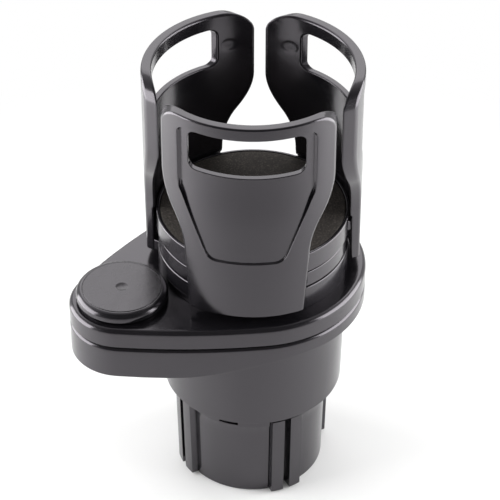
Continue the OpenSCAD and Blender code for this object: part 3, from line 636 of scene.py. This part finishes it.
arm = {
    "innerRadius": 44.1, "thickness": 4.7, "bottom": 118.6, "top": 219.5, "low": 25.5,
    "neck": 27.4, "wide": 37.5, "neckZ": 148.0, "wideZ": 188.0, "lowCorner": 1.0, "corner": 9.0,
    "panelDepth": 1.7, "panelLow": 18.0, "panelTop": 29.1, "panelBottom": 148.6,
    "panelWideZ": 183.0, "panelUpper": 214.0, "panelLowCorner": 5.0, "panelCorner": 3.0,
    "windowHalf": 25.1, "windowBottom": 193.2, "windowTop": 212.4, "windowCorner": 3.5,
    "edges": {"outer": 0.9, "inner": 1.2}, "windowEdges": {"outer": 0.35, "inner": 0.7},
    "relief": 0.6, "reliefTop": 145.4, "markRadius": 3.5, "markDepth": 0.12, "markY": 29.4,
    "markZ": 203.3, "markFlat": 0.55, "wall": 0.28, "sideWall": 0.95, "shallow": 0.45,
    "shallowTo": 165.0, "deepens": 25.0, "widens": 8.0, "narrows": 3.0, "slopeEnd": 0.08,
    "slopeLeast": 0.02, "grid": 1.7, "gridRow": 0.87, "gridRoom": 0.8, "gridFromEdge": 2.0,
    "gridFromWindow": 1.6, "spacing": 1.2, "edgeSteps": (0.0, 0.04, 0.15, 0.32, 0.55, 0.8, 1.0),
    "markSteps": (1.0, 0.86, 0.72, 0.58, 0.4, 0.2), "sharpAngle": 42, "turns": (0, 120, 240)}


def armOutline():
    low, corner = arm["lowCorner"], arm["corner"]
    half = arcPoints(arm["low"] - low, arm["bottom"] + low, low, -90, 0, 8)
    half += sCurve(arm["neck"], arm["neckZ"], arm["wide"], arm["wideZ"], 14)
    half += arcPoints(arm["wide"] - corner, arm["top"] - corner, corner, 0, 90, 14)
    return resampled(bothSides(half), arm["spacing"])


def panelOutline():
    low, corner = arm["panelLowCorner"], arm["panelCorner"]
    half = slantedSide(arm["panelLow"] - low, arm["panelBottom"] + low, low,
                       arm["panelTop"] - corner, arm["panelWideZ"], corner)
    half += arcPoints(arm["panelTop"] - corner, arm["panelUpper"] - corner, corner, 0, 90, 6)
    return resampled(bothSides(half), arm["spacing"])


def windowOutline():
    corner = arm["windowCorner"]
    x, z0, z1 = arm["windowHalf"] - corner, arm["windowBottom"] + corner, arm["windowTop"] - corner
    half = arcPoints(x, z0, corner, -90, 0, 7) + arcPoints(x, z1, corner, 0, 90, 7)
    return resampled(bothSides(half), arm["spacing"])


def inside(point, loop):
    x, y = point
    found = False
    for (ax, ay), (bx, by) in zip(loop, loop[1:] + loop[:1]):
        if (ay > y) != (by > y) and x < (bx - ax) * (y - ay) / (by - ay) + ax:
            found = not found
    return found


def edgeDrop(distance, radius):
    share = max(0.0, 1 - distance / radius)
    return radius * (1 - math.sqrt(max(0.0, 1 - share * share)))


def smoothStep(share):
    share = min(max(share, 0), 1)
    return share * share * (3 - 2 * share)


def bladeFace(loops, outline, window):
    # triangles over the face's outline, with extra points so that it can be bent
    points, edges = [], []
    for loop, _ in loops:
        first = len(points)
        points += [Vector(point) for point in loop]
        edges += [(first + i, first + (i + 1) % len(loop)) for i in range(len(loop))]
    step, edge = arm["grid"], insetLoop(outline, arm["gridFromEdge"])
    hole = insetLoop(window, -arm["gridFromWindow"])
    cells = {}
    for point in points:
        cells.setdefault((math.floor(point.x), math.floor(point.y)), []).append(point)
    row, y = 0, arm["bottom"] + step
    while y < arm["top"]:
        x = -arm["wide"] + (step / 2 if row % 2 else 0)
        while x < arm["wide"]:
            spot = Vector((x, y))
            near = any((spot - other).length < arm["gridRoom"] for i in (-1, 0, 1) for k in (-1, 0, 1)
                       for other in cells.get((math.floor(x) + i, math.floor(y) + k), ()))
            if not near and inside((x, y), edge) and not inside((x, y), hole):
                points.append(spot)
            x += step
        y += step * arm["gridRow"]
        row += 1
    return delaunay_2d_cdt(points, edges, [], 1, 1e-5, True)


def dishAt(share):
    # the round mark inside the arm: flat, with a soft edge
    flat = arm["markFlat"]
    return arm["markDepth"] * (1 + math.cos(math.pi * max(0.0, share - flat) / (1 - flat))) / 2


def panelHeight(z):
    # the panel lies less deep at its foot
    deep = smoothStep((z - arm["shallowTo"]) / arm["deepens"])
    return -arm["panelDepth"] * (1 - arm["shallow"] * (1 - deep))


def edgeRings(loop, radius, sign, outwards):
    # rings over a rounded edge, each with the height that it has lost
    distances = [radius * share for share in arm["edgeSteps"]]
    return [(insetLoop(loop, outwards * away), sign * edgeDrop(away, radius)) for away in distances]


def panelRings(panel):
    # rings down the panel's step, from its top at 0 to its foot at 1
    rings = []
    for i in range(7):
        slope = 2 * i / 6 - 1
        narrow = insetLoop(panel, arm["wall"] * slope)
        broad = insetLoop(panel, arm["sideWall"] * slope)
        ring = []
        for (x0, y0), (x1, y1), (_, y) in zip(narrow, broad, panel):
            # the step is wider where it runs straight up beside the window
            share = min(max((y - arm["panelWideZ"]) / arm["widens"] + 0.5, 0), 1)
            share *= min(max((arm["panelUpper"] - y) / arm["narrows"], 0), 1)
            ring.append((x0 + (x1 - x0) * share, y0 + (y1 - y0) * share))
        rings.append((ring, ("panel", i / 6)))
    return rings


def markRings():
    rings = []
    for side in (-1, 1):
        for share in arm["markSteps"]:
            radius = share * arm["markRadius"]
            circle = arcPoints(side * arm["markY"], arm["markZ"], radius, 0, 360, 32)[:-1]
            rings.append((circle, ("mark", dishAt(share))))
    return rings


def outerHeight(point, drop, panel):
    if isinstance(drop, tuple):
        # a straight slope with soft ends
        end, least = arm["slopeEnd"], arm["slopeLeast"] * (drop[1] > 0)
        return panelHeight(point[1]) * min(max((1 + 2 * end) * drop[1] - end, least), 1)
    return (panelHeight(point[1]) if inside(point, panel) else 0.0) + drop


def innerHeight(point, drop):
    height = -arm["thickness"] + (arm["relief"] if point[1] < arm["reliefTop"] else 0.0)
    if isinstance(drop, tuple):
        return height + drop[1]
    away = math.hypot(abs(point[0]) - arm["markY"], point[1] - arm["markZ"]) / arm["markRadius"]
    return height + (drop + (dishAt(away) if away < 1 else 0.0))


def buildBlade():
    # both faces, laid flat in Y and Z, with a wall along the outline and one round the window
    outline, panel, window = armOutline(), panelOutline(), windowOutline()
    windowStart = len(arm["edgeSteps"]) * len(outline)
    mesh = bmesh.new()
    rims = {}
    for side, sign in (("outer", -1), ("inner", 1)):
        loops = edgeRings(outline, arm["edges"][side], sign, 1)
        loops += edgeRings(window, arm["windowEdges"][side], sign, -1)
        loops += panelRings(panel) if side == "outer" else markRings()
        verts, _, faces, origins, _, _ = bladeFace(loops, outline, window)
        drops = [drop for loop, drop in loops for _ in loop]
        made = []
        for vert, origin in zip(verts, origins):
            source = origin[0] if origin else len(drops)
            drop = drops[source] if source < len(drops) else 0.0
            point = (vert.x, vert.y)
            height = outerHeight(point, drop, panel) if side == "outer" else innerHeight(point, drop)
            made.append(mesh.verts.new((height, vert.x, vert.y)))
            if source < len(outline):
                rims.setdefault(side, {})[source] = made[-1]
            elif windowStart <= source < windowStart + len(window):
                rims.setdefault(side + "Window", {})[source - windowStart] = made[-1]
        for face in faces:
            count = len(face)
            middle = (sum(verts[i].x for i in face) / count, sum(verts[i].y for i in face) / count)
            if inside(middle, outline) and not inside(middle, window):
                mesh.faces.new([made[i] for i in face])
    for place in ("", "Window"):
        outerRim, innerRim = rims["outer" + place], rims["inner" + place]
        for i in range(len(outerRim)):
            k = (i + 1) % len(outerRim)
            mesh.faces.new((outerRim[i], outerRim[k], innerRim[k], innerRim[i]))
    bmesh.ops.recalc_face_normals(mesh, faces=mesh.faces)
    mesh.transform(Matrix.Scale(millimetre, 4))
    data = bpy.data.meshes.new("flat_blade")
    mesh.to_mesh(data)
    mesh.free()
    return data


def startTree(name, sizes):
    # geometry in and out, a named input for each size and one for the finish
    tree = bpy.data.node_groups.new(name, "GeometryNodeTree")
    tree.interface.new_socket("Geometry", in_out="INPUT", socket_type="NodeSocketGeometry")
    keys = {}
    for label in sizes:
        socket = tree.interface.new_socket(label, in_out="INPUT", socket_type="NodeSocketFloat")
        keys[label] = socket.identifier
    socket = tree.interface.new_socket("Finish", in_out="INPUT", socket_type="NodeSocketMaterial")
    keys["Finish"] = socket.identifier
    tree.interface.new_socket("Geometry", in_out="OUTPUT", socket_type="NodeSocketGeometry")
    return tree, keys, tree.nodes.new("NodeGroupInput")


def endTree(tree, start, shape):
    nodes, links = tree.nodes, tree.links
    real, paint = nodes.new("GeometryNodeRealizeInstances"), nodes.new("GeometryNodeSetMaterial")
    end = nodes.new("NodeGroupOutput")
    links.new(shape, real.inputs["Geometry"])
    links.new(real.outputs["Geometry"], paint.inputs["Geometry"])
    links.new(start.outputs["Finish"], paint.inputs["Material"])
    links.new(paint.outputs["Geometry"], end.inputs["Geometry"])


def bendTree():
    # bends a flat blade round the Z axis: x becomes the root of (radius + x) squared less y squared
    tree, keys, start = startTree("bendRoundDrum", ("Outer Radius", "Turn"))
    nodes, links = tree.nodes, tree.links
    place, split = nodes.new("GeometryNodeInputPosition"), nodes.new("ShaderNodeSeparateXYZ")
    links.new(place.outputs[0], split.inputs[0])

    def calculate(operation, first, second):
        node = nodes.new("ShaderNodeMath")
        node.operation = operation
        links.new(first, node.inputs[0])
        if second is not None:
            links.new(second, node.inputs[1])
        return node.outputs[0]

    reach = calculate("ADD", start.outputs["Outer Radius"], split.outputs["X"])
    square = calculate("SUBTRACT", calculate("MULTIPLY", reach, reach),
                       calculate("MULTIPLY", split.outputs["Y"], split.outputs["Y"]))
    bent = nodes.new("ShaderNodeCombineXYZ")
    links.new(calculate("SQRT", square, None), bent.inputs["X"])
    links.new(split.outputs["Y"], bent.inputs["Y"])
    links.new(split.outputs["Z"], bent.inputs["Z"])
    move = nodes.new("GeometryNodeSetPosition")
    links.new(start.outputs["Geometry"], move.inputs["Geometry"])
    links.new(bent.outputs[0], move.inputs["Position"])
    around = nodes.new("ShaderNodeCombineXYZ")
    links.new(start.outputs["Turn"], around.inputs["Z"])
    spin = nodes.new("GeometryNodeTransform")
    links.new(move.outputs["Geometry"], spin.inputs["Geometry"])
    links.new(around.outputs[0], spin.inputs["Rotation"])
    endTree(tree, start, spin.outputs["Geometry"])
    return tree, keys


def grown(name, data, tree, values):
    # runs a node tree once and keeps its result as a plain mesh
    source = linked(name + "_source", data)
    modifier = source.modifiers.new("grow", "NODES")
    modifier.node_group = tree
    for key, value in values.items():
        modifier[key] = value
    bpy.context.view_layer.update()
    seen = source.evaluated_get(bpy.context.evaluated_depsgraph_get())
    result = bpy.data.meshes.new_from_object(seen)
    result.name = name
    source.modifiers.clear()
    bpy.data.objects.remove(source)
    return linked(name, result)


foot = {
    "from": 17.0, "half": 25.9, "levels": (136.5, 120.5, 128.5), "height": 5.2, "barTo": 20.0,
    "channelTo": 39.7, "channel": 7.0, "into": 1.0, "spacing": 6.0}


def footLoops(turn):
    reach = arm["innerRadius"] + foot["into"]
    side = math.degrees(math.asin(foot["half"] / reach))
    corner = math.sqrt(reach ** 2 - foot["half"] ** 2)
    outer = [(foot["from"], -foot["half"]), (corner, -foot["half"])]
    outer += arcPoints(0, 0, reach, -side, side, 24)[1:-1]
    outer += [(corner, foot["half"]), (foot["from"], foot["half"])]
    hole = barLoop(foot["barTo"], foot["channelTo"], foot["channel"], cornerRadius=0.5)[::-1]
    return [turned(resampled(outer, foot["spacing"]), turn), turned(hole, turn)]


blade = buildBlade()
bender, bendKeys = bendTree()
for number, turn in enumerate(arm["turns"], 1):
    piece = grown(f"arm_blade_{number}", blade, bender, {
        bendKeys["Outer Radius"]: (arm["innerRadius"] + arm["thickness"]) * millimetre,
        bendKeys["Turn"]: math.radians(turn), bendKeys["Finish"]: satinBlack})
    finishPiece(piece, f"arm_{number}", [f"arm_{number}"], arm["sharpAngle"])
    mesh = bmesh.new()
    level = foot["levels"][number - 1]
    addPlate(mesh, footLoops(turn), level, level + foot["height"])
    makePiece(f"arm_foot_{number}", mesh, satinBlack, f"arm_{number}")
bpy.data.meshes.remove(blade)
print("arms made")


# coils: a wire that follows a spiral with closed ends

coils = {
    "armMean": 2.2, "armWire": 0.4, "armTurns": 7, "armFrom": 20.1, "armLength": 17.0,
    "armTravel": 10.0, "pivotMean": 6.85, "pivotWire": 0.55, "pivotTurns": 3, "pivotFrom": 91.5,
    "pivotLength": 4.9, "endPitch": 2.1, "perTurn": 24, "wireSides": 10, "sharpAngle": 60}


def coilTree():
    tree, keys, start = startTree("wireAlongPath", ["Wire Radius"])
    nodes, links = tree.nodes, tree.links
    path, circle = nodes.new("GeometryNodeMeshToCurve"), nodes.new("GeometryNodeCurvePrimitiveCircle")
    circle.inputs["Resolution"].default_value = coils["wireSides"]
    sweep = nodes.new("GeometryNodeCurveToMesh")
    sweep.inputs["Fill Caps"].default_value = True
    links.new(start.outputs["Geometry"], path.inputs["Mesh"])
    links.new(start.outputs["Wire Radius"], circle.inputs["Radius"])
    links.new(path.outputs["Curve"], sweep.inputs["Curve"])
    links.new(circle.outputs["Curve"], sweep.inputs["Profile Curve"])
    endTree(tree, start, sweep.outputs["Mesh"])
    return tree, keys


def coilPath(length, mean, wire, turns):
    closed = coils["endPitch"] * wire  # the first and last turn lie close
    pitch = (length - 2 * wire - 2 * closed) / (turns - 2)
    points = []
    for i in range(turns * coils["perTurn"] + 1):
        t = i / coils["perTurn"]
        if t < 1:
            along = closed * t
        elif t > turns - 1:
            along = length - 2 * wire - closed * (turns - t)
        else:
            along = closed + pitch * (t - 1)
        angle = 2 * math.pi * t
        points.append(Vector((wire + along, mean * math.cos(angle), mean * math.sin(angle))))
    return points


def makeCoil(name, node, body, points, wire, tree, keys):
    data = bpy.data.meshes.new(name + "_path")
    links = [(i, i + 1) for i in range(len(points) - 1)]
    data.from_pydata([point * millimetre for point in points], links, [])
    values = {keys["Wire Radius"]: wire * millimetre, keys["Finish"]: zincSteel}
    piece = grown(name, data, tree, values)
    bpy.data.meshes.remove(data)
    return finishPiece(piece, body, [node], coils["sharpAngle"])


winder, windKeys = coilTree()
for number, turn in enumerate(arm["turns"], 1):
    path = coilPath(coils["armLength"], coils["armMean"], coils["armWire"], coils["armTurns"])
    start = Vector((coils["armFrom"], 0, foot["levels"][number - 1] + foot["height"] / 2))
    spin = Matrix.Rotation(math.radians(turn), 3, "Z")
    path = [spin @ (point + start) for point in path]
    coil = makeCoil(f"arm_coil_{number}", f"arm_spring_{number}", "swing", path, coils["armWire"],
                    winder, windKeys)
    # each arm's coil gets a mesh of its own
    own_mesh(coil)
path = coilPath(coils["pivotLength"], coils["pivotMean"], coils["pivotWire"], coils["pivotTurns"])
path = [Vector((-tray["reach"] + point.z, point.y, coils["pivotFrom"] + point.x)) for point in path]
makeCoil("pivot_coil", "pivot_spring", "knob", path, coils["pivotWire"], winder, windKeys)
print("coils made")


# base and the rest: smooth copies of the CAD nodes, each with its finish

copies = [
    ("base_barrel", "barrel", satinBlack, "base", "black_plastic"),
    ("base_plate", "barrel_plate", satinBlack, "base", "black_plastic"),
    ("base_screws", "barrel_screws", zincSteel, "base", "steel"),
    *((f"fin_{k}", f"fin_block_{k}", satinBlack, f"fin_{k}", "black_plastic") for k in range(1, 5)),
    ("cam_disc", "cam_plate", innerGrey, "dial", "inner_plastic"),
    ("dial", "dial_body", satinBlack, "dial", "black_plastic"),
    ("dial_screw", "dial_fixing", zincSteel, "dial", "steel"),
    ("drum_lid", "drum_cover", satinBlack, "swing", "black_plastic"),
    ("slip_washer", "sliding_ring", milkyPlastic, "base", "pale_plastic"),
    ("drum_screws", "drum_fixings", zincSteel, "swing", "steel"),
    ("cap_screws", "cap_fixings", zincSteel, "swing", "steel"),
    ("pivot_washer", "pivot_disc", zincSteel, "knob", "steel"),
    ("pivot_screw", "pivot_fixing", zincSteel, "knob", "steel")]
for node, name, finish, body, slot in copies:
    finishedCopy(node, name, finish, body)
print("base made")


# stage, lights and camera

studio = {
    "floorColour": (0.93, 0.93, 0.925), "floorRough": 0.9, "floorShine": 0.1, "floorSize": 3.0,
    "floorLevel": -0.0004, "fade": (0.16, 0.34), "fill": 0.36,
    "darkSide": (-0.336, -0.689, 0.643), "darkest": 0.12, "darkFrom": 0.3, "darkTo": 0.75}
softboxes = [
    # name, place, target, size, power
    ("rightBox", (0.405, -0.197, 0.21), (0, 0, 0.17), (0.5, 0.4), 3.4),
    ("leftBox", (-0.405, 0.197, 0.21), (0, 0, 0.17), (0.5, 0.4), 3.9),
    ("backBox", (0.48, 0.98, 1.0), (0, 0, 0.12), (1.6, 1.0), 7.5)]


def makeFloor():
    mesh = bmesh.new()
    half, level = studio["floorSize"], studio["floorLevel"]
    corners = ((-half, -half), (half, -half), (half, half), (-half, half))
    mesh.faces.new([mesh.verts.new((x, y, level)) for x, y in corners])
    data = bpy.data.meshes.new("floor")
    mesh.to_mesh(data)
    mesh.free()
    material, tree, shader, coords = startMaterial("paleFloor")
    shader.inputs["Base Color"].default_value = (*studio["floorColour"], 1)
    shader.inputs["Roughness"].default_value = studio["floorRough"]
    shader.inputs["Specular IOR Level"].default_value = studio["floorShine"]
    # seen from anywhere, the floor runs out into plain white round the object
    distance, fade = tree.nodes.new("ShaderNodeVectorMath"), tree.nodes.new("ShaderNodeMapRange")
    distance.operation = "LENGTH"
    tree.links.new(coords.outputs["Object"], distance.inputs[0])
    tree.links.new(distance.outputs["Value"], fade.inputs["Value"])
    fade.interpolation_type = "SMOOTHSTEP"
    fade.inputs["From Min"].default_value, fade.inputs["From Max"].default_value = studio["fade"]
    path, seen = tree.nodes.new("ShaderNodeLightPath"), tree.nodes.new("ShaderNodeMath")
    seen.operation = "MULTIPLY"
    tree.links.new(path.outputs["Is Camera Ray"], seen.inputs[0])
    tree.links.new(fade.outputs["Result"], seen.inputs[1])
    white, mixed = tree.nodes.new("ShaderNodeEmission"), tree.nodes.new("ShaderNodeMixShader")
    tree.links.new(seen.outputs["Value"], mixed.inputs["Fac"])
    tree.links.new(shader.outputs[0], mixed.inputs[1])
    tree.links.new(white.outputs[0], mixed.inputs[2])
    out = next(node for node in tree.nodes if node.type == "OUTPUT_MATERIAL")
    tree.links.new(mixed.outputs[0], out.inputs["Surface"])
    data.materials.append(material)
    floor = linked("floor", data)


def makeWorld():
    world = bpy.data.worlds.new("studio")
    bpy.context.scene.world = world
    world.use_nodes = True
    tree = world.node_tree
    tree.nodes.clear()
    out = tree.nodes.new("ShaderNodeOutputWorld")
    seen, lit = tree.nodes.new("ShaderNodeBackground"), tree.nodes.new("ShaderNodeBackground")
    seen.inputs["Color"].default_value = (1, 1, 1, 1)
    lit.inputs["Color"].default_value = (1, 1, 1, 1)
    lit.inputs["Strength"].default_value = studio["fill"]
    # reflections see a white room that is dark above and behind the camera
    mirrored, coords = tree.nodes.new("ShaderNodeBackground"), tree.nodes.new("ShaderNodeTexCoord")
    side, shade = tree.nodes.new("ShaderNodeVectorMath"), tree.nodes.new("ShaderNodeMapRange")
    side.operation = "DOT_PRODUCT"
    side.inputs[1].default_value = studio["darkSide"]
    tree.links.new(coords.outputs["Generated"], side.inputs[0])
    tree.links.new(side.outputs["Value"], shade.inputs["Value"])
    shade.inputs["From Min"].default_value = studio["darkFrom"]
    shade.inputs["From Max"].default_value = studio["darkTo"]
    shade.inputs["To Min"].default_value = 1.0
    shade.inputs["To Max"].default_value = studio["darkest"]
    tree.links.new(shade.outputs["Result"], mirrored.inputs["Strength"])
    path = tree.nodes.new("ShaderNodeLightPath")
    inner, outer = tree.nodes.new("ShaderNodeMixShader"), tree.nodes.new("ShaderNodeMixShader")
    tree.links.new(path.outputs["Is Glossy Ray"], inner.inputs["Fac"])
    tree.links.new(lit.outputs[0], inner.inputs[1])
    tree.links.new(mirrored.outputs[0], inner.inputs[2])
    tree.links.new(path.outputs["Is Camera Ray"], outer.inputs["Fac"])
    tree.links.new(inner.outputs[0], outer.inputs[1])
    tree.links.new(seen.outputs[0], outer.inputs[2])
    tree.links.new(outer.outputs[0], out.inputs["Surface"])


def addSoftbox(name, place, target, size, power):
    light = bpy.data.lights.new(name, "AREA")
    light.shape = "RECTANGLE"
    light.size, light.size_y = size
    light.energy = power
    holder = linked(name, light)
    holder.location = place
    holder.visible_camera = False
    holder.rotation_euler = (Vector(target) - Vector(place)).to_track_quat("-Z", "Y").to_euler()


view = {"lens": 163.04, "sensor": 36.0, "away": 0.82193, "height": 0.7553, "turn": 26.22,
        "pitch": 37.74, "yaw": -0.092, "roll": 0.077}


def placeCamera():
    data = bpy.data.cameras.new("camera")
    data.lens = view["lens"]
    data.sensor_width = view["sensor"]
    camera = linked("camera", data)
    turn = math.radians(view["turn"])
    camera.location = (-view["away"] * math.sin(turn), -view["away"] * math.cos(turn), view["height"])
    aim = Matrix.Rotation(-turn - math.radians(view["yaw"]), 3, "Z")
    aim @= Matrix.Rotation(math.radians(90 - view["pitch"]), 3, "X")
    aim @= Matrix.Rotation(math.radians(view["roll"]), 3, "Z")
    camera.rotation_euler = aim.to_euler()
    bpy.context.scene.camera = camera


makeFloor()
makeWorld()
for box in softboxes:
    addSoftbox(*box)
placeCamera()
bpy.context.scene.view_settings.view_transform = "Standard"
print("stage made")
